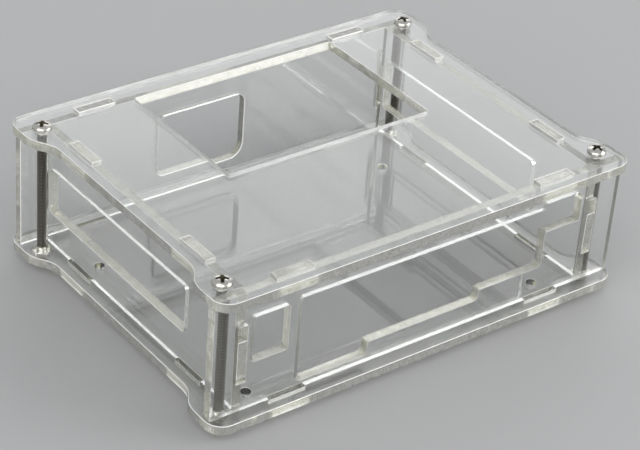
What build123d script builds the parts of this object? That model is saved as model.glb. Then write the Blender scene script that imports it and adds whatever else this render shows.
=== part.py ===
"""Clear laser-cut enclosure for a single board computer.

Two plates and four walls of sheet interlock by tabs and slots, and four long screws
outside the side walls clamp the plates together.
X runs along the long side, Y to the back and Z up. The origin is at the centre of the
footprint, level with the screw tips that the case stands on.
"""

from build123d import *

import os
from math import radians, sqrt, tan

# Sheet thickness and the clear height between the plates, in millimetres
SHEET = 3.0
WALL_HEIGHT = 37.7

# The board's mounting holes in the bottom plate and the room round them to the walls
BOARD_SPACING_X = 105.6
BOARD_SPACING_Y = 72.5
BOARD_HOLE_DIAMETER = 3.2
ROOM_LEFT = 5.45
ROOM_RIGHT = 13.05
ROOM_FRONT = 5.0
ROOM_BACK = 20.9

# Plate margins outside the walls, and the outline's ears and narrower waist
SIDE_MARGIN = 8.95
END_MARGIN = 4.3
EAR_RADIUS = 5.5
EAR_WIDTH = 10.5
EAR_BLEND = 13.0
EAR_STEP = 4.6

# Tabs and slots: setbacks run from the inner face of the next wall to the tab's middle
TAB_LENGTH = 12.5
TAB_FIT = 0.1
END_TAB_SETBACK = 14.95
SIDE_TAB_SETBACK = 20.1
END_WALL_INSET = 0.65
WALL_SLOT_PLAY = 6.4
WALL_TAB_DROP = 1.7
BUTT_GAP = 0.1

# Opening in the top plate, measured from the inner faces of the walls
TOP_BAR_LEFT = 27.65
TOP_BAR_RIGHT = 22.85
TOP_BAR_FRONT = 47.3
TOP_BAR_BACK = 0.8
TOP_OPENING_RADIUS = 0.6

# Small port in the front wall, from the left wall and from the top edge
PORT_BAR_LEFT = 2.05
PORT_BAR_TOP = 7.6
PORT_LENGTH = 12.0
PORT_HEIGHT = 14.8
PORT_RADIUS = 0.6

# Long bay in the front wall: a sill in three steps, then a shelf under a raised window
BAY_BAR_LEFT = 3.9
BAY_BAR_RIGHT = 3.25
BAY_LOW_LENGTH = 24.7
BAY_HIGH_LENGTH = 24.0
BAY_SHELF_LENGTH = 13.4
BAY_RAISED_LENGTH = 14.3
BAY_LOW_SILL = 2.6
BAY_MIDDLE_SILL = 6.95
BAY_HIGH_SILL = 10.45
BAY_SHELF_DROP = 15.0
BAY_ROOF_BAR = 6.8
BAY_RAISED_BAR = 4.95
BAY_CORNER_RADIUS = 0.8
BAY_STEP_RADIUS = 1.6
BAY_NOSE_RADIUS = 0.7
BAY_END_RADIUS = 2.0

# Opening in the back wall, seen from the front
BACK_OPENING_LENGTH = 31.95
BACK_OPENING_CENTRE_X = -8.5
BACK_BAR_BOTTOM = 7.65
BACK_BAR_TOP = 7.5
BACK_TOP_RADIUS = 2.9
BACK_LOW_LEFT_RADIUS = 2.0
BACK_LOW_RIGHT_RADIUS = 5.0

# Windows in the side walls, measured from the ends of the walls
WINDOW_HEIGHT = 15.35
WINDOW_BAR_BACK = 2.7
WINDOW_BAR_FRONT = 22.7
WINDOW_RADIUS = 1.5

# Corner screws
SCREW_DIAMETER = 3.0
SCREW_WALL_GAP = 1.0
SCREW_HOLE_FIT = 0.2
HEAD_DIAMETER = 5.8
HEAD_HEIGHT = 2.1
HEAD_EDGE_HEIGHT = 0.9
HEAD_EDGE_RADIUS = 0.5
HEAD_SEAT_BEVEL = 0.15
RECESS_SPAN = 3.8
RECESS_WIDTH = 0.9
RECESS_DEPTH = 1.4
RECESS_TAPER = 12.0
TIP_LENGTH = 0.8
TIP_BEVEL = 0.4

# Hexagon nuts
NUT_ACROSS_FLATS = 6.0
NUT_HEIGHT = 2.4
NUT_BORE_FIT = 0.1
NUT_FACE_INSET = 0.15
NUT_CORNER_ANGLE = 30.0

# Levels
FOOT_HEIGHT = NUT_HEIGHT + TIP_LENGTH
WALL_BASE = FOOT_HEIGHT + SHEET
WALL_TOP = WALL_BASE + WALL_HEIGHT
CASE_TOP = WALL_TOP + SHEET
HEAD_TOP = CASE_TOP + HEAD_HEIGHT

# Faces and middle planes of the walls
SIDE_INNER_X = (ROOM_LEFT + BOARD_SPACING_X + ROOM_RIGHT) / 2
SIDE_MIDDLE_X = SIDE_INNER_X + SHEET / 2
SIDE_OUTER_X = SIDE_INNER_X + SHEET
END_INNER_Y = (ROOM_FRONT + BOARD_SPACING_Y + ROOM_BACK) / 2
END_MIDDLE_Y = END_INNER_Y + SHEET / 2
END_OUTER_Y = END_INNER_Y + SHEET
PLATE_EDGE_X = SIDE_OUTER_X + SIDE_MARGIN
PLATE_EDGE_Y = END_OUTER_Y + END_MARGIN

# Places that several pieces share
END_TABS_X = SIDE_INNER_X - END_TAB_SETBACK
SIDE_TABS_Y = END_INNER_Y - SIDE_TAB_SETBACK
SCREW_RADIUS = SCREW_DIAMETER / 2
SCREW_X = SIDE_OUTER_X + SCREW_WALL_GAP + SCREW_RADIUS
SCREW_Y = END_INNER_Y - SCREW_WALL_GAP - SCREW_RADIUS
SLOT_LENGTH = TAB_LENGTH + 2 * TAB_FIT
SLOT_WIDTH = SHEET + 2 * TAB_FIT

os.makedirs("parts", exist_ok=True)


def save(part, name):
    """Label a finished piece and write it under its own name."""
    part.label = name
    export_step(part, f"parts/{name}.step")


def plate_blank():
    """Outline that both plates share, with their tab slots and screw holes."""
    waist_x = PLATE_EDGE_X - EAR_STEP
    blend_start_y = PLATE_EDGE_Y - EAR_WIDTH
    blend_end_y = blend_start_y - EAR_BLEND
    blend_middle = (PLATE_EDGE_X - EAR_STEP / 2, blend_start_y - EAR_BLEND / 2)
    with BuildSketch() as blank:
        with BuildLine():
            edge = Line((0, PLATE_EDGE_Y), (PLATE_EDGE_X - EAR_RADIUS, PLATE_EDGE_Y))
            corner_end = (PLATE_EDGE_X, PLATE_EDGE_Y - EAR_RADIUS)
            corner = TangentArc(edge @ 1, corner_end, tangent=edge % 1)
            ear = Line(corner @ 1, (PLATE_EDGE_X, blend_start_y))
            bulge = TangentArc(ear @ 1, blend_middle, tangent=ear % 1)
            hollow = TangentArc(bulge @ 1, (waist_x, blend_end_y), tangent=bulge % 1)
            Line(hollow @ 1, (waist_x, 0))
            mirror(about=Plane.XZ)
            mirror(about=Plane.YZ)
        make_face()
        with GridLocations(2 * END_TABS_X, 2 * END_MIDDLE_Y, 2, 2):
            Rectangle(SLOT_LENGTH, SLOT_WIDTH, mode=Mode.SUBTRACT)
        with GridLocations(2 * SIDE_MIDDLE_X, 2 * SIDE_TABS_Y, 2, 2):
            Rectangle(SLOT_WIDTH, SLOT_LENGTH, mode=Mode.SUBTRACT)
        with GridLocations(2 * SCREW_X, 2 * SCREW_Y, 2, 2):
            Circle(SCREW_RADIUS + SCREW_HOLE_FIT / 2, mode=Mode.SUBTRACT)
    return blank.sketch


def make_bottom_plate():
    """Plain plate with the board's four mounting holes."""
    board_centre = ((ROOM_LEFT - ROOM_RIGHT) / 2, (ROOM_FRONT - ROOM_BACK) / 2)
    with BuildPart() as bottom_plate:
        with BuildSketch(Plane.XY.offset(FOOT_HEIGHT)):
            add(plate_blank())
            with Locations(board_centre):
                with GridLocations(BOARD_SPACING_X, BOARD_SPACING_Y, 2, 2):
                    Circle(BOARD_HOLE_DIAMETER / 2, mode=Mode.SUBTRACT)
        extrude(amount=SHEET)
    save(bottom_plate.part, "bottom_plate")


def make_top_plate():
    """Plate with the large opening that reaches back almost to the back wall."""
    left_x = TOP_BAR_LEFT - SIDE_INNER_X
    right_x = SIDE_INNER_X - TOP_BAR_RIGHT
    front_y = TOP_BAR_FRONT - END_INNER_Y
    back_y = END_INNER_Y - TOP_BAR_BACK
    with BuildPart() as top_plate:
        with BuildSketch(Plane.XY.offset(WALL_TOP)):
            add(plate_blank())
            with Locations(((left_x + right_x) / 2, (front_y + back_y) / 2)):
                RectangleRounded(
                    right_x - left_x, back_y - front_y, TOP_OPENING_RADIUS, mode=Mode.SUBTRACT
                )
        extrude(amount=SHEET)
    save(top_plate.part, "top_plate")


def end_wall_blank():
    """Front or back wall without its openings, drawn upward from the middle of its foot."""
    with BuildSketch() as blank:
        Rectangle(
            2 * (PLATE_EDGE_X - END_WALL_INSET), WALL_HEIGHT, align=(Align.CENTER, Align.MIN)
        )
        with Locations((0, WALL_HEIGHT / 2)):
            with GridLocations(2 * END_TABS_X, WALL_HEIGHT + SHEET, 2, 2):
                Rectangle(TAB_LENGTH, SHEET)
            with GridLocations(2 * SIDE_MIDDLE_X, 0, 2, 1):
                Rectangle(SLOT_WIDTH, TAB_LENGTH + WALL_SLOT_PLAY, mode=Mode.SUBTRACT)
    return blank.sketch


def front_openings():
    """Small port, and the long bay with its stepped sill, shelf and raised roof."""
    port_left = PORT_BAR_LEFT - SIDE_INNER_X
    port_top = WALL_HEIGHT - PORT_BAR_TOP
    left = port_left + PORT_LENGTH + BAY_BAR_LEFT
    right = SIDE_INNER_X - BAY_BAR_RIGHT
    low_end = left + BAY_LOW_LENGTH
    high_end = right - BAY_SHELF_LENGTH
    middle_end = high_end - BAY_HIGH_LENGTH
    roof_end = right - BAY_RAISED_LENGTH
    shelf = WALL_HEIGHT - BAY_SHELF_DROP
    roof = WALL_HEIGHT - BAY_ROOF_BAR
    raised_roof = WALL_HEIGHT - BAY_RAISED_BAR
    corners = (
        (left, BAY_LOW_SILL, BAY_CORNER_RADIUS),
        (low_end, BAY_LOW_SILL, BAY_STEP_RADIUS),
        (low_end, BAY_MIDDLE_SILL, BAY_NOSE_RADIUS),
        (middle_end, BAY_MIDDLE_SILL, BAY_STEP_RADIUS),
        (middle_end, BAY_HIGH_SILL, BAY_NOSE_RADIUS),
        (high_end, BAY_HIGH_SILL, BAY_STEP_RADIUS),
        (high_end, shelf, BAY_NOSE_RADIUS),
        (right, shelf, BAY_CORNER_RADIUS),
        (right, raised_roof, BAY_END_RADIUS),
        (roof_end, raised_roof, BAY_CORNER_RADIUS),
        (roof_end, roof, BAY_NOSE_RADIUS),
        (left, roof, BAY_CORNER_RADIUS),
    )
    with BuildSketch() as openings:
        with BuildLine():
            FilletPolyline(
                *[(x, height) for x, height, radius in corners],
                radius=[radius for x, height, radius in corners],
                close=True,
            )
        make_face()
        with Locations((port_left + PORT_LENGTH / 2, port_top - PORT_HEIGHT / 2)):
            RectangleRounded(PORT_LENGTH, PORT_HEIGHT, PORT_RADIUS)
    return openings.sketch


def back_opening():
    """Squarish opening with a different radius at its lower corners."""
    left = BACK_OPENING_CENTRE_X - BACK_OPENING_LENGTH / 2
    right = BACK_OPENING_CENTRE_X + BACK_OPENING_LENGTH / 2
    top = WALL_HEIGHT - BACK_BAR_TOP
    with BuildSketch() as opening:
        with BuildLine():
            FilletPolyline(
                (left, BACK_BAR_BOTTOM),
                (right, BACK_BAR_BOTTOM),
                (right, top),
                (left, top),
                radius=[
                    BACK_LOW_LEFT_RADIUS,
                    BACK_LOW_RIGHT_RADIUS,
                    BACK_TOP_RADIUS,
                    BACK_TOP_RADIUS,
                ],
                close=True,
            )
        make_face()
    return opening.sketch


def make_end_wall(outer_y, openings, name):
    """Front or back wall: its sheet runs forward from the given rear face."""
    wall_plane = Plane(origin=(0, outer_y, WALL_BASE), x_dir=(1, 0, 0), z_dir=(0, -1, 0))
    with BuildPart() as end_wall:
        with BuildSketch(wall_plane):
            add(end_wall_blank())
            add(openings, mode=Mode.SUBTRACT)
        extrude(amount=SHEET)
    save(end_wall.part, name)


def make_side_wall(left_x, name):
    """Left or right wall: it butts between the end walls and its end tabs pass through them."""
    half_length = END_INNER_Y - BUTT_GAP
    window_back = half_length - WINDOW_BAR_BACK
    window_front = WINDOW_BAR_FRONT - half_length
    middle = (left_x, 0, WALL_BASE + WALL_HEIGHT / 2)
    wall_plane = Plane(origin=middle, x_dir=(0, 1, 0), z_dir=(1, 0, 0))
    with BuildPart() as side_wall:
        with BuildSketch(wall_plane):
            Rectangle(2 * half_length, WALL_HEIGHT)
            with GridLocations(2 * SIDE_TABS_Y, WALL_HEIGHT + SHEET, 2, 2):
                Rectangle(TAB_LENGTH, SHEET)
            with Locations((0, -WALL_TAB_DROP)):
                Rectangle(2 * END_OUTER_Y, TAB_LENGTH)
            with Locations(((window_back + window_front) / 2, 0)):
                RectangleRounded(
                    window_back - window_front, WINDOW_HEIGHT, WINDOW_RADIUS, mode=Mode.SUBTRACT
                )
        extrude(amount=SHEET)
    save(side_wall.part, name)


def pan_screw():
    """One long screw on its own axis, standing on its tip, with a domed cross-recess head."""
    head_radius = HEAD_DIAMETER / 2
    dome_rise = HEAD_HEIGHT - HEAD_EDGE_HEIGHT
    dome_radius = (head_radius**2 + dome_rise**2) / (2 * dome_rise)
    with BuildPart() as screw:
        with BuildSketch(Plane.XZ) as profile:
            with BuildLine():
                Polyline(
                    (0, HEAD_TOP),
                    (0, 0),
                    (SCREW_RADIUS - TIP_BEVEL, 0),
                    (SCREW_RADIUS, TIP_BEVEL),
                    (SCREW_RADIUS, CASE_TOP),
                    (head_radius - HEAD_SEAT_BEVEL, CASE_TOP),
                    (head_radius, CASE_TOP + HEAD_SEAT_BEVEL),
                    (head_radius, CASE_TOP + HEAD_EDGE_HEIGHT),
                )
                RadiusArc((head_radius, CASE_TOP + HEAD_EDGE_HEIGHT), (0, HEAD_TOP), -dome_radius)
            make_face()
            rim = profile.vertices().group_by(Axis.X)[-1].sort_by(Axis.Y)[-1]
            fillet(rim, HEAD_EDGE_RADIUS)
        revolve(axis=Axis.Z)
        with BuildSketch(Plane.XY.offset(HEAD_TOP)):
            Rectangle(RECESS_SPAN, RECESS_WIDTH)
            Rectangle(RECESS_WIDTH, RECESS_SPAN)
        extrude(amount=-RECESS_DEPTH, taper=RECESS_TAPER, mode=Mode.SUBTRACT)
    return screw.part


def hexagon_nut():
    """One nut on its own axis, its corners bevelled at both faces."""
    face_radius = NUT_ACROSS_FLATS / 2 - NUT_FACE_INSET
    corner_radius = NUT_ACROSS_FLATS / sqrt(3)
    bevel = (corner_radius - face_radius) * tan(radians(NUT_CORNER_ANGLE))
    with BuildPart() as nut:
        with BuildSketch(Plane.XY.offset(TIP_LENGTH)):
            RegularPolygon(NUT_ACROSS_FLATS / 2, 6, major_radius=False)
            Circle(SCREW_RADIUS + NUT_BORE_FIT, mode=Mode.SUBTRACT)
        extrude(amount=NUT_HEIGHT)
        with BuildSketch(Plane.XZ):
            with BuildLine():
                Polyline(
                    (0, TIP_LENGTH),
                    (face_radius, TIP_LENGTH),
                    (corner_radius, TIP_LENGTH + bevel),
                    (corner_radius, FOOT_HEIGHT - bevel),
                    (face_radius, FOOT_HEIGHT),
                    (0, FOOT_HEIGHT),
                    close=True,
                )
            make_face()
        revolve(axis=Axis.Z, mode=Mode.INTERSECT)
    return nut.part


def make_corner_set(piece, name):
    """The same fastener at each of the four corners, as four separate solids."""
    with BuildPart() as corner_set:
        with GridLocations(2 * SCREW_X, 2 * SCREW_Y, 2, 2):
            add(piece)
    save(corner_set.part, name)


make_bottom_plate()
make_top_plate()
make_end_wall(-END_INNER_Y, front_openings(), "front_wall")
make_end_wall(END_OUTER_Y, back_opening(), "back_wall")
make_side_wall(-SIDE_OUTER_X, "left_wall")
make_side_wall(SIDE_INNER_X, "right_wall")
make_corner_set(pan_screw(), "corner_screws")
make_corner_set(hexagon_nut(), "corner_nuts")
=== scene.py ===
"""Looks of a clear laser-cut case: sheet pieces with frosted cut edges, screws and nuts.

Everything is in metres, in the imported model's frame: X along the long side, Y to the back,
Z up, with the screw tips on the floor at Z = 0.
"""

from math import atan2, cos, pi, radians, sin, tan

import bmesh
import bpy
from mathutils import Matrix, Vector


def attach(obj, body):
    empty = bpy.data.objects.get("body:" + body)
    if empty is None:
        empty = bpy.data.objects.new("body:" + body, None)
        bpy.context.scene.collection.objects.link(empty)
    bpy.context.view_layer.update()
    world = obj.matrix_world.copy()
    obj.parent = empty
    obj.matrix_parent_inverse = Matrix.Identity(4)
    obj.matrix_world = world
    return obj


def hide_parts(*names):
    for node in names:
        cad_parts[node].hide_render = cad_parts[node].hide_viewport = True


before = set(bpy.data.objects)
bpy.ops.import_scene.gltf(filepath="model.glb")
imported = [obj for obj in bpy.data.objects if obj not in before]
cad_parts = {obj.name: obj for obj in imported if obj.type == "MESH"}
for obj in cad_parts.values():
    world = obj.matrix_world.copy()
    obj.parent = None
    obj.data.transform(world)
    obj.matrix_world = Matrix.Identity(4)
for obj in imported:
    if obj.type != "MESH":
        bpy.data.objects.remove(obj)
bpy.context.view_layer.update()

MM = 0.001

# Where the photograph was taken from, and its lens
CAMERA_AZIMUTH = radians(39.06)
CAMERA_ELEVATION = radians(32.69)
CAMERA_ROLL = radians(4.723)
CAMERA_DISTANCE = 684 * MM
CAMERA_TARGET = Vector((5.2, 3.8, 13.3)) * MM
CAMERA_LENS = 125.76
CAMERA_SENSOR = 36.0
CAMERA_NEAR = 0.01
CAMERA_FAR = 50.0

# Softboxes, each with its place, its side and its power in watts, and the light all round
SOFTBOXES = {
    "key_light": ((-1.3, -0.9, 1.3), 2.6, 48),
    "back_light": ((0.95, 1.15, 0.95), 1.8, 9),
    "right_light": ((1.3, -1.1, 0.8), 1.5, 26),
}
STUDIO_COLOUR = (0.8, 0.82, 0.85)
STUDIO_STRENGTH = 0.58

# The plain floor, far larger than the view
FLOOR_SIZE = 40.0
FLOOR_COLOUR = (0.33, 0.33, 0.33)
FLOOR_ROUGHNESS = 0.6

# Finishing of every mesh: corners closer than this are one, and gentler bends look round
WELD_DISTANCE = 0.002 * MM
SMOOTH_ANGLE = radians(30)

# Sheet pieces and the axis that each one's thickness lies along
SHEET_AXES = {
    "bottom_plate": 2,
    "top_plate": 2,
    "front_wall": 1,
    "back_wall": 1,
    "left_wall": 0,
    "right_wall": 0,
}
FLAT_ANGLE = radians(0.5)
CUT_FACING = 0.5
EDGE_BEVEL = 0.25 * MM
BEVEL_ANGLE = radians(50)
AIR_GAP = 0.02 * MM

# A sheet piece's three looks, in the order of its material slots; the rim's look is a painted
# highlight
POLISHED, CUT, RIM = range(3)

# Clear acrylic: how it bends light, and the cream tint that it takes on over a distance
ACRYLIC_IOR = 1.49
TINT_COLOUR = (0.72, 0.74, 0.38)
TINT_DENSITY = 1.0

# How far the marks on a cut edge are drawn out across the thickness
MARK_STRETCH = 0.08

# The board's mounting holes in the bottom plate
BOARD_CENTRE = Vector((-3.8, -7.95)) * MM
BOARD_SPACING = Vector((105.6, 72.5)) * MM
BOARD_HOLE_RADIUS = 1.6 * MM
BOARD_HOLE_MARGIN = 0.1 * MM

# Screws' shanks, of a standard coarse M3 thread
CASE_TOP = 46.9 * MM
THREAD_PITCH = 0.5 * MM
THREAD_CREST = 1.48 * MM
THREAD_ROOT = 1.2 * MM
CREST_FLAT = 0.07 * MM
ROOT_FLAT = 0.11 * MM
THREAD_STEPS = 28
SPARE_TURNS = 2
ROD_TOP = CASE_TOP + 0.1 * MM
TIP_RADIUS = 1.12 * MM
TIP_CLEARANCE = 0.05 * MM
TRIM_OVERSHOOT = 0.1 * MM
TRIM_THRESHOLD = 0.0005 * MM
TURNED_SIDES = 56

# Screws' heads: a low dome on a rounded rim
HEAD_RADIUS = 2.89 * MM
HEAD_HEIGHT = 2.05 * MM
HEAD_EDGE = 0.9 * MM
HEAD_EDGE_RADIUS = 0.5 * MM
HEAD_SEAT_BEVEL = 0.15 * MM
HEAD_EDGE_STEPS = 6
DOME_STEPS = 8
DOME_END = radians(88)

# The cross recess: two crossed wings that narrow downwards, and a pit in the middle
RECESS_DEPTH = 1.4 * MM
RECESS_SPAN = 4.6 * MM
RECESS_WIDTH = 1.15 * MM
RECESS_FLOOR_SPAN = 0.6
RECESS_FLOOR_WIDTH = 0.62
RECESS_OVERSHOOT = 0.2 * MM
RECESS_EDGE = 0.03 * MM
RECESS_EDGE_ANGLE = radians(40)
PIT_FLOOR_RADIUS = 0.5 * MM
PIT_TOP_RADIUS = 1.1 * MM
PIT_SIDES = 24
DOWN_FACING = 0.9

# Painted shade on the screws' plated steel: full in the recess, a painted darkening over the whole
# shank, and more the deeper in the thread's groove
PAINTED_SHADE_LAYER = "painted_shade"
RECESS_PAINTED_SHADE = 1.0
CREST_PAINTED_SHADE = 0.62
ROOT_EXTRA_PAINTED_SHADE = 0.36
HEAD_START = 0.3 * MM
HOLLOW_START = 0.04 * MM
HOLLOW_REACH = 2.2 * MM

# Hexagon nuts
NUT_BOTTOM = 0.8 * MM
NUT_TOP = 3.2 * MM
NUT_ACROSS_FLATS = 6 * MM
NUT_FACE_RADIUS = 2.85 * MM
NUT_BORE_RADIUS = 1.5 * MM
NUT_BLANK_DEPTH = 4 * MM
NUT_TURNED_RADIUS = 3.6 * MM
NUT_TURNED_ANGLE = radians(30)
NUT_SINK = 0.3 * MM
NUT_EDGE = 0.06 * MM
NUT_EDGE_ANGLE = radians(25)

# Corners' places, and how many degrees each one's screw and nut are turned
SCREW_X = 67.55 * MM
SCREW_Y = 46.7 * MM
CORNERS = {
    "back_left": {"place": (-SCREW_X, SCREW_Y), "screw": -38, "nut": -6},
    "front_left": {"place": (-SCREW_X, -SCREW_Y), "screw": -33, "nut": 40},
    "back_right": {"place": (SCREW_X, SCREW_Y), "screw": -14, "nut": 25},
    "front_right": {"place": (SCREW_X, -SCREW_Y), "screw": 9, "nut": 3},
}


class Value:
    """A shader socket. Arithmetic on it adds Math nodes to the same material."""

    def __init__(self, look, socket):
        self.look = look
        self.socket = socket

    def math(self, operation, *values):
        return self.look.node("ShaderNodeMath", {"operation": operation}, dict(enumerate(values)))

    def __add__(self, other):
        return self.math("ADD", self, other)

    def __radd__(self, other):
        return self.math("ADD", other, self)

    def __mul__(self, other):
        return self.math("MULTIPLY", self, other)

    def __rmul__(self, other):
        return self.math("MULTIPLY", other, self)


class Look:
    """A material under construction."""

    def __init__(self, name):
        self.material = bpy.data.materials.new(name)
        self.material.use_nodes = True
        self.tree = self.material.node_tree
        self.tree.nodes.clear()

    def node(self, kind, settings=None, sockets=None, output=0):
        """Add a node, set its settings, then fill its sockets with values or links."""
        made = self.tree.nodes.new(kind)
        for name, setting in (settings or {}).items():
            if name == "stops":
                for element, (position, colour) in zip(made.color_ramp.elements, setting):
                    element.position = position
                    element.color = (*colour, 1.0)
            else:
                setattr(made, name, setting)
        for name, filling in (sockets or {}).items():
            if isinstance(filling, Value):
                self.tree.links.new(filling.socket, made.inputs[name])
            else:
                made.inputs[name].default_value = filling
        return Value(self, made.outputs[output]) if made.outputs else None

    def object_coordinates(self, scale=(1.0, 1.0, 1.0)):
        """The piece's own coordinates in metres, stretched by scale."""
        place = self.node("ShaderNodeTexCoord", output="Object")
        return self.node("ShaderNodeMapping", sockets={"Vector": place, "Scale": scale})

    def noise(self, coordinates, cells_per_metre, detail=2.0, roughness=0.5):
        """Noise from 0 to 1, with about so many cells to the metre."""
        return self.node(
            "ShaderNodeTexNoise",
            sockets={
                "Vector": coordinates,
                "Scale": cells_per_metre,
                "Detail": detail,
                "Roughness": roughness,
            },
        )

    def ramp(self, factor, low, high):
        """A colour that goes from low to high, each stop a factor and a plain colour."""
        return self.node("ShaderNodeValToRGB", {"stops": (low, high)}, {"Fac": factor})

    def blend(self, factor, low, high):
        """A colour between low and high, each a plain colour or another node's."""
        low, high = ((*c, 1.0) if isinstance(c, tuple) else c for c in (low, high))
        return self.node(
            "ShaderNodeMix", {"data_type": "RGBA"}, {0: factor, 6: low, 7: high}, output=2
        )

    def bump(self, height, strength, distance):
        """A normal that is tilted as the height rises and falls."""
        return self.node(
            "ShaderNodeBump",
            sockets={"Strength": strength, "Distance": distance, "Height": height},
        )

    def sheet_tint(self):
        """The cream tint that clear sheet shows where light runs far along inside it."""
        return self.node(
            "ShaderNodeVolumeAbsorption",
            sockets={"Color": (*TINT_COLOUR, 1.0), "Density": TINT_DENSITY},
        )

    def finish(self, sockets, volume=None):
        """Wire up one shader with these sockets, and the volume if there is one."""
        ends = {"Surface": self.node("ShaderNodeBsdfPrincipled", sockets=sockets)}
        if volume:
            ends["Volume"] = volume
        self.node("ShaderNodeOutputMaterial", sockets=ends)
        return self.material


def clear_face_look():
    """Polished cast sheet: clear and glossy, a trace of haze from handling, a few specks."""
    look = Look("clear_face")
    place = look.object_coordinates()
    haze = look.noise(place, 45.0, detail=4.0)
    specks = look.noise(place, 700.0, detail=0.0)
    dust = look.ramp(specks, (0.84, (0.0, 0.0, 0.0)), (0.86, (1.0, 1.0, 1.0)))
    waviness = look.noise(place, 30.0, detail=0.0)
    return look.finish(
        {
            "Base Color": (0.985, 0.992, 0.985, 1.0),
            "Roughness": haze * 0.03 + dust * 0.2,
            "IOR": ACRYLIC_IOR,
            "Transmission Weight": 1.0,
            "Normal": look.bump(waviness, 0.3, 0.06 * MM),
        },
        look.sheet_tint(),
    )


def cut_edge_look(axis):
    """Laser-cut edge: frosted cream with fine marks running across the sheet's thickness."""
    look = Look("cut_edge_" + "xyz"[axis])
    along = [1.0, 1.0, 1.0]
    along[axis] = MARK_STRETCH
    place = look.object_coordinates()
    marks = look.noise(look.object_coordinates(tuple(along)), 9000.0, detail=1.0, roughness=0.6)
    speckle = look.noise(place, 7000.0, detail=1.0, roughness=0.7)
    clouds = look.noise(place, 320.0, detail=2.0, roughness=0.6)
    grain = marks * 0.35 + speckle * 0.3 + clouds * 0.35
    return look.finish(
        {
            "Base Color": look.ramp(grain, (0.38, (0.80, 0.79, 0.71)), (0.56, (1.0, 0.995, 0.96))),
            "Roughness": 0.08 + grain * 0.3,
            "IOR": ACRYLIC_IOR,
            "Transmission Weight": 0.72,
            "Normal": look.bump(marks, 0.5, 0.02 * MM),
        },
        look.sheet_tint(),
    )


def make_rim_painted_highlight():
    """The slightly melted rim along each cut, given a near-white colour as a painted highlight, so
    that it shows as a fine bright line.
    """
    look = Look("cut_rim_highlight_paint")
    grain = look.noise(look.object_coordinates(), 1800.0, detail=2.0, roughness=0.7)
    return look.finish(
        {
            # Near-white base colour with little transmission: a painted highlight standing in for the
            # glints along the cut
            "Base Color": look.blend(grain, (0.9, 0.89, 0.84), (1.0, 1.0, 0.98)),
            "Roughness": 0.1 + grain * 0.2,
            "IOR": ACRYLIC_IOR,
            "Transmission Weight": 0.12,
        }
    )


def plated_steel_look():
    """Nickel-plated steel: slightly warm, with soft uneven sheen, and painted shade that darkens its
    recess and thread.
    """
    look = Look("plated_steel")
    sheen = look.noise(look.object_coordinates(), 2500.0, detail=3.0)
    bright = look.blend(sheen, (0.64, 0.61, 0.55), (0.80, 0.78, 0.72))
    painted_shade = look.node("ShaderNodeAttribute", {"attribute_name": PAINTED_SHADE_LAYER}, output="Fac")
    return look.finish(
        {
            # The near-black colour is painted shade, mixed in by the painted shade mark on the recess
            # and thread
            "Base Color": look.blend(painted_shade, bright, (0.045, 0.04, 0.025)),
            "Metallic": 1.0,
            "Roughness": 0.14 + sheen * 0.12 + painted_shade * 0.25,
        }
    )


def deselect_all():
    if bpy.context.object and bpy.context.object.mode != "OBJECT":
        bpy.ops.object.mode_set(mode="OBJECT")
    bpy.ops.object.select_all(action="DESELECT")


def make_active(piece):
    deselect_all()
    piece.select_set(True)
    bpy.context.view_layer.objects.active = piece


def apply_modifier(piece, kind, **settings):
    make_active(piece)
    modifier = piece.modifiers.new(kind.lower(), kind)
    for name, setting in settings.items():
        setattr(modifier, name, setting)
    bpy.ops.object.modifier_apply(modifier=modifier.name)


def settle_place(piece):
    """Move a piece's place into its mesh, so that the object sits at the origin."""
    make_active(piece)
    bpy.ops.object.transform_apply(location=True, rotation=True, scale=True)


def select_faces(piece, wanted):
    """In edit mode, select only the faces for which wanted is true."""
    bpy.ops.mesh.select_mode(type="FACE")
    bpy.ops.mesh.select_all(action="DESELECT")
    mesh = bmesh.from_edit_mesh(piece.data)
    for face in mesh.faces:
        face.select_set(wanted(face))
    bmesh.update_edit_mesh(piece.data)


def round_edges(piece, width, angle):
    """Round a steel piece's edges that are sharper than the angle."""
    apply_modifier(
        piece, "BEVEL", width=width, segments=2, limit_method="ANGLE", angle_limit=angle
    )


def cut_with(piece, tool, operation):
    """Join, cut or trim a piece with a tool, which is used up."""
    apply_modifier(piece, "BOOLEAN", object=tool, operation=operation, solver="EXACT")
    bpy.data.objects.remove(tool)


def in_board_hole(place):
    """Whether a place is on the wall of one of the board's four holes."""
    from_centre = Vector(place.xy) - BOARD_CENTRE
    from_hole = Vector((abs(from_centre.x), abs(from_centre.y))) - BOARD_SPACING / 2
    return from_hole.length < BOARD_HOLE_RADIUS + BOARD_HOLE_MARGIN


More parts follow.
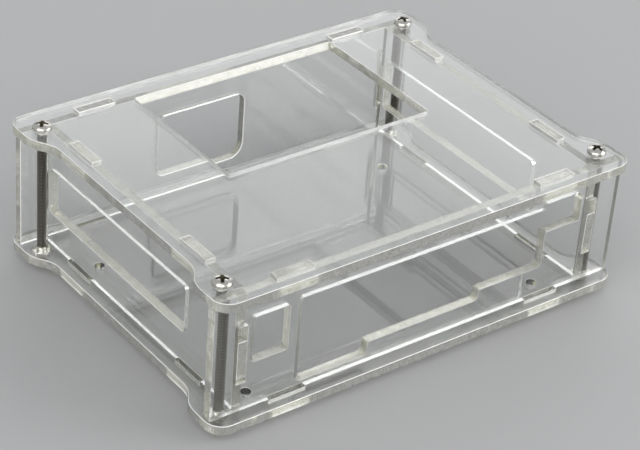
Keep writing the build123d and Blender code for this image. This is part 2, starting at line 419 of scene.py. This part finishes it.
def sheet_piece(node, axis, looks):
    """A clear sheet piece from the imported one: tidied, with fine bevels and an air gap round it."""
    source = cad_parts[node]
    piece = bpy.data.objects.new("clear_" + node, source.data.copy())
    bpy.context.scene.collection.objects.link(piece)
    make_active(piece)
    bpy.ops.object.mode_set(mode="EDIT")
    bpy.ops.mesh.select_all(action="SELECT")
    bpy.ops.mesh.remove_doubles(threshold=WELD_DISTANCE)
    bpy.ops.mesh.customdata_custom_splitnormals_clear()
    bpy.ops.mesh.dissolve_limited(angle_limit=FLAT_ANGLE)
    bpy.ops.object.mode_set(mode="OBJECT")
    piece.data.materials.clear()
    for look in looks:
        piece.data.materials.append(look)
    for face in piece.data.polygons:
        cut = abs(face.normal[axis]) < CUT_FACING
        glossy = node == "bottom_plate" and in_board_hole(face.center)
        face.material_index = CUT if cut and not glossy else POLISHED
    # The bevels take the rim look, whose near-white colour is a painted highlight
    apply_modifier(
        piece,
        "BEVEL",
        width=EDGE_BEVEL,
        segments=1,
        limit_method="ANGLE",
        angle_limit=BEVEL_ANGLE,
        use_clamp_overlap=True,
        material=RIM,
    )
    bpy.ops.object.mode_set(mode="EDIT")
    bpy.ops.mesh.select_all(action="SELECT")
    bpy.ops.transform.shrink_fatten(value=-AIR_GAP)
    bpy.ops.object.mode_set(mode="OBJECT")
    bpy.ops.object.shade_smooth_by_angle(angle=SMOOTH_ANGLE)
    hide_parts(node)
    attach(piece, "root")


def make_sheets():
    face_look = clear_face_look()
    edge_looks = [cut_edge_look(axis) for axis in range(3)]
    rim_with_painted_highlight = make_rim_painted_highlight()
    for node, axis in SHEET_AXES.items():
        sheet_piece(node, axis, (face_look, edge_looks[axis], rim_with_painted_highlight))


def turned_blank(name, rings, sides=TURNED_SIDES):
    """A closed turned shape: a disc drawn up through rings, each a radius and a height."""
    (radius, height), *others = rings
    deselect_all()
    bpy.ops.mesh.primitive_circle_add(
        vertices=sides, radius=radius, fill_type="NGON", location=(0, 0, height)
    )
    piece = bpy.context.object
    piece.name = name
    bpy.ops.object.mode_set(mode="EDIT")
    for new_radius, new_height in others:
        rise = {"value": (0, 0, new_height - height)}
        bpy.ops.mesh.extrude_region_move(TRANSFORM_OT_translate=rise)
        growth = new_radius / radius
        bpy.ops.transform.resize(value=(growth, growth, 1), center_override=(0, 0, new_height))
        radius, height = new_radius, new_height
    bpy.ops.mesh.select_all(action="SELECT")
    bpy.ops.mesh.normals_make_consistent(inside=False)
    bpy.ops.object.mode_set(mode="OBJECT")
    settle_place(piece)
    return piece


def drawn_line(name, places):
    """A line drawn on from a single point, through places that are each a radius and a height."""
    (radius, height), *others = places
    deselect_all()
    bpy.ops.mesh.primitive_circle_add(vertices=4, radius=0.1 * MM)
    piece = bpy.context.object
    piece.name = name
    bpy.ops.object.mode_set(mode="EDIT")
    bpy.ops.mesh.select_mode(type="VERT")
    bpy.ops.mesh.merge(type="CENTER")
    bpy.ops.transform.translate(value=(radius, 0, height))
    for new_radius, new_height in others:
        move = {"value": (new_radius - radius, 0, new_height - height)}
        bpy.ops.mesh.extrude_region_move(TRANSFORM_OT_translate=move)
        radius, height = new_radius, new_height
    bpy.ops.object.mode_set(mode="OBJECT")
    settle_place(piece)
    return piece


def threaded_rod():
    """The shank: a thread wound up from a one-pitch profile, cut square and pointed."""
    flank = (THREAD_PITCH - CREST_FLAT - ROOT_FLAT) / 2
    profile = [
        (THREAD_ROOT, 0),
        (THREAD_ROOT, ROOT_FLAT),
        (THREAD_CREST, ROOT_FLAT + flank),
        (THREAD_CREST, ROOT_FLAT + flank + CREST_FLAT),
        (THREAD_ROOT, THREAD_PITCH),
    ]
    below = SPARE_TURNS * THREAD_PITCH
    rod = drawn_line("shank", [(radius, rise - below) for radius, rise in profile])
    apply_modifier(
        rod,
        "SCREW",
        axis="Z",
        angle=2 * pi,
        screw_offset=THREAD_PITCH,
        iterations=int(ROD_TOP / THREAD_PITCH) + 2 * SPARE_TURNS,
        steps=THREAD_STEPS,
        render_steps=THREAD_STEPS,
    )
    bpy.ops.object.mode_set(mode="EDIT")
    bpy.ops.mesh.select_all(action="SELECT")
    bpy.ops.mesh.remove_doubles(threshold=WELD_DISTANCE)
    for height, upper in ((-TRIM_OVERSHOOT, False), (ROD_TOP, True)):
        bpy.ops.mesh.select_all(action="SELECT")
        bpy.ops.mesh.bisect(
            plane_co=(0, 0, height),
            plane_no=(0, 0, 1),
            use_fill=True,
            clear_inner=not upper,
            clear_outer=upper,
            threshold=TRIM_THRESHOLD,
        )
    bpy.ops.mesh.select_all(action="SELECT")
    bpy.ops.mesh.normals_make_consistent(inside=False)
    bpy.ops.object.mode_set(mode="OBJECT")
    clear = THREAD_CREST + TIP_CLEARANCE
    rings = [(TIP_RADIUS, 0), (clear, clear - TIP_RADIUS), (clear, ROD_TOP + TRIM_OVERSHOOT)]
    cut_with(rod, turned_blank("point", rings), "INTERSECT")
    return rod


def dome_radius():
    rise = HEAD_HEIGHT - HEAD_EDGE
    return (HEAD_RADIUS**2 + rise**2) / (2 * rise)


def head_blank():
    """The head without its recess: a low dome with a rounded rim on a bevelled seat."""
    dome = dome_radius()
    middle = CASE_TOP + HEAD_HEIGHT - dome
    inset = HEAD_RADIUS - HEAD_EDGE_RADIUS
    shoulder = middle + ((dome - HEAD_EDGE_RADIUS) ** 2 - inset**2) ** 0.5
    lean = atan2(shoulder - middle, inset)
    rings = [
        (HEAD_RADIUS - HEAD_SEAT_BEVEL, CASE_TOP),
        (HEAD_RADIUS, CASE_TOP + HEAD_SEAT_BEVEL),
    ]
    for step in range(HEAD_EDGE_STEPS + 1):
        angle = lean * step / HEAD_EDGE_STEPS
        rings.append(
            (inset + HEAD_EDGE_RADIUS * cos(angle), shoulder + HEAD_EDGE_RADIUS * sin(angle))
        )
    for step in range(1, DOME_STEPS + 1):
        angle = lean + (DOME_END - lean) * step / DOME_STEPS
        rings.append((dome * cos(angle), middle + dome * sin(angle)))
    return turned_blank("head", rings)


def pan_head():
    """The head with its cross recess, which narrows downwards to a pit in the middle."""
    head = head_blank()
    top = CASE_TOP + HEAD_HEIGHT + RECESS_OVERSHOOT
    bottom = CASE_TOP + HEAD_HEIGHT - RECESS_DEPTH
    for turn, narrowing in (
        (0, (RECESS_FLOOR_SPAN, RECESS_FLOOR_WIDTH, 1)),
        (pi / 2, (RECESS_FLOOR_WIDTH, RECESS_FLOOR_SPAN, 1)),
    ):
        deselect_all()
        bpy.ops.mesh.primitive_cube_add(
            size=1, location=(0, 0, (top + bottom) / 2), rotation=(0, 0, turn)
        )
        wing = bpy.context.object
        wing.scale = (RECESS_SPAN, RECESS_WIDTH, top - bottom)
        settle_place(wing)
        bpy.ops.object.mode_set(mode="EDIT")
        select_faces(wing, lambda face: face.normal.z < -DOWN_FACING)
        bpy.ops.transform.resize(value=narrowing, center_override=(0, 0, bottom))
        bpy.ops.object.mode_set(mode="OBJECT")
        cut_with(head, wing, "DIFFERENCE")
    rings = [(PIT_FLOOR_RADIUS, bottom - RECESS_OVERSHOOT), (PIT_TOP_RADIUS, top)]
    cut_with(head, turned_blank("pit", rings, PIT_SIDES), "DIFFERENCE")
    round_edges(head, RECESS_EDGE, RECESS_EDGE_ANGLE)
    return head


def paint_shade_in_hollows(screw):
    """Mark painted shade on the screw: full in the recess, and on the shank more the deeper in the
    thread.
    """
    mesh = screw.data
    painted_shade = mesh.attributes.new(PAINTED_SHADE_LAYER, "FLOAT", "CORNER")
    dome = dome_radius()
    middle = Vector((0, 0, CASE_TOP + HEAD_HEIGHT - dome))
    for face in mesh.polygons:
        in_head = face.center.z > CASE_TOP + HEAD_START
        under_dome = (face.center - middle).length < dome - HOLLOW_START
        in_recess = in_head and under_dome and face.center.xy.length < HOLLOW_REACH
        for corner in face.loop_indices:
            place = mesh.vertices[mesh.loops[corner].vertex_index].co
            # Painted shade on the shank grows with the depth into the thread's groove
            depth = (THREAD_CREST - place.xy.length) / (THREAD_CREST - THREAD_ROOT)
            painted_thread_shade = CREST_PAINTED_SHADE + ROOT_EXTRA_PAINTED_SHADE * min(max(depth, 0.0), 1.0)
            painted_shade_outside_recess = 0.0 if in_head else painted_thread_shade
            painted_shade.data[corner].value = RECESS_PAINTED_SHADE if in_recess else painted_shade_outside_recess


def hexagon_nut():
    """A nut with corners turned off at thirty degrees and a countersunk bore."""
    deselect_all()
    bpy.ops.mesh.primitive_cylinder_add(
        vertices=6,
        radius=NUT_ACROSS_FLATS / 3**0.5,
        depth=NUT_BLANK_DEPTH,
        location=(0, 0, (NUT_BOTTOM + NUT_TOP) / 2),
    )
    nut = bpy.context.object
    settle_place(nut)
    slope = (NUT_TURNED_RADIUS - NUT_FACE_RADIUS) * tan(NUT_TURNED_ANGLE)
    corners = [
        (NUT_FACE_RADIUS, NUT_BOTTOM),
        (NUT_TURNED_RADIUS, NUT_BOTTOM + slope),
        (NUT_TURNED_RADIUS, NUT_TOP - slope),
        (NUT_FACE_RADIUS, NUT_TOP),
    ]
    cut_with(nut, turned_blank("corners", corners), "INTERSECT")
    bore = [
        (NUT_BORE_RADIUS + 2 * NUT_SINK, NUT_BOTTOM - NUT_SINK),
        (NUT_BORE_RADIUS, NUT_BOTTOM + NUT_SINK / 2),
        (NUT_BORE_RADIUS, NUT_TOP - NUT_SINK / 2),
        (NUT_BORE_RADIUS + 2 * NUT_SINK, NUT_TOP + NUT_SINK),
    ]
    cut_with(nut, turned_blank("bore", bore), "DIFFERENCE")
    round_edges(nut, NUT_EDGE, NUT_EDGE_ANGLE)
    return nut


def place_at_corners(pattern, kind, steel):
    """A copy of one fastener at each corner, turned as it was left by hand."""
    for corner, spot in CORNERS.items():
        piece = bpy.data.objects.new(f"{kind}_{corner}", pattern.data.copy())
        bpy.context.scene.collection.objects.link(piece)
        piece.location = (*spot["place"], 0)
        piece.rotation_euler.z = radians(spot[kind])
        settle_place(piece)
        piece.data.materials.clear()
        piece.data.materials.append(steel)
        bpy.ops.object.shade_smooth_by_angle(angle=SMOOTH_ANGLE)
        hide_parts(f"corner_{kind}s")
        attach(piece, "root")
    bpy.data.objects.remove(pattern)


def make_fasteners():
    steel = plated_steel_look()
    screw = threaded_rod()
    cut_with(screw, pan_head(), "UNION")
    paint_shade_in_hollows(screw)
    place_at_corners(screw, "screw", steel)
    place_at_corners(hexagon_nut(), "nut", steel)


def make_floor():
    deselect_all()
    bpy.ops.mesh.primitive_plane_add(size=FLOOR_SIZE, location=(0, 0, 0))
    floor = bpy.context.object
    floor.name = "floor"
    look = Look("pale_floor")
    pale = look.finish({"Base Color": (*FLOOR_COLOUR, 1.0), "Roughness": FLOOR_ROUGHNESS})
    floor.data.materials.append(pale)


def softbox(name, place, side, power):
    """A square softbox at a place, facing the case."""
    lamp = bpy.data.lights.new(name, "AREA")
    lamp.size = side
    lamp.energy = power
    light = bpy.data.objects.new(name, lamp)
    light.location = place
    light.rotation_euler = (CAMERA_TARGET - light.location).to_track_quat("-Z", "Y").to_euler()
    bpy.context.scene.collection.objects.link(light)


def make_lights():
    for name, (place, side, power) in SOFTBOXES.items():
        softbox(name, place, side, power)
    world = bpy.data.worlds.new("studio")
    bpy.context.scene.world = world
    world.use_nodes = True
    background = world.node_tree.nodes["Background"]
    background.inputs["Color"].default_value = (*STUDIO_COLOUR, 1.0)
    background.inputs["Strength"].default_value = STUDIO_STRENGTH


def make_camera():
    """The photograph's viewpoint: azimuth to the left of -Y, from above, with a slight roll."""
    forward = Vector(
        (
            sin(CAMERA_AZIMUTH) * cos(CAMERA_ELEVATION),
            cos(CAMERA_AZIMUTH) * cos(CAMERA_ELEVATION),
            -sin(CAMERA_ELEVATION),
        )
    )
    level = Vector((cos(CAMERA_AZIMUTH), -sin(CAMERA_AZIMUTH), 0.0))
    right = cos(CAMERA_ROLL) * level + sin(CAMERA_ROLL) * level.cross(forward)
    up = right.cross(forward)
    data = bpy.data.cameras.new("camera")
    data.sensor_width = CAMERA_SENSOR
    data.lens = CAMERA_LENS
    data.clip_start = CAMERA_NEAR
    data.clip_end = CAMERA_FAR
    camera = bpy.data.objects.new("camera", data)
    turn = Matrix((right, up, -forward)).transposed().to_4x4()
    camera.matrix_world = Matrix.Translation(CAMERA_TARGET - CAMERA_DISTANCE * forward) @ turn
    bpy.context.scene.collection.objects.link(camera)
    bpy.context.scene.camera = camera


make_sheets()
make_fasteners()
make_floor()
make_lights()
make_camera()

bpy.context.scene.view_settings.view_transform = "Standard"
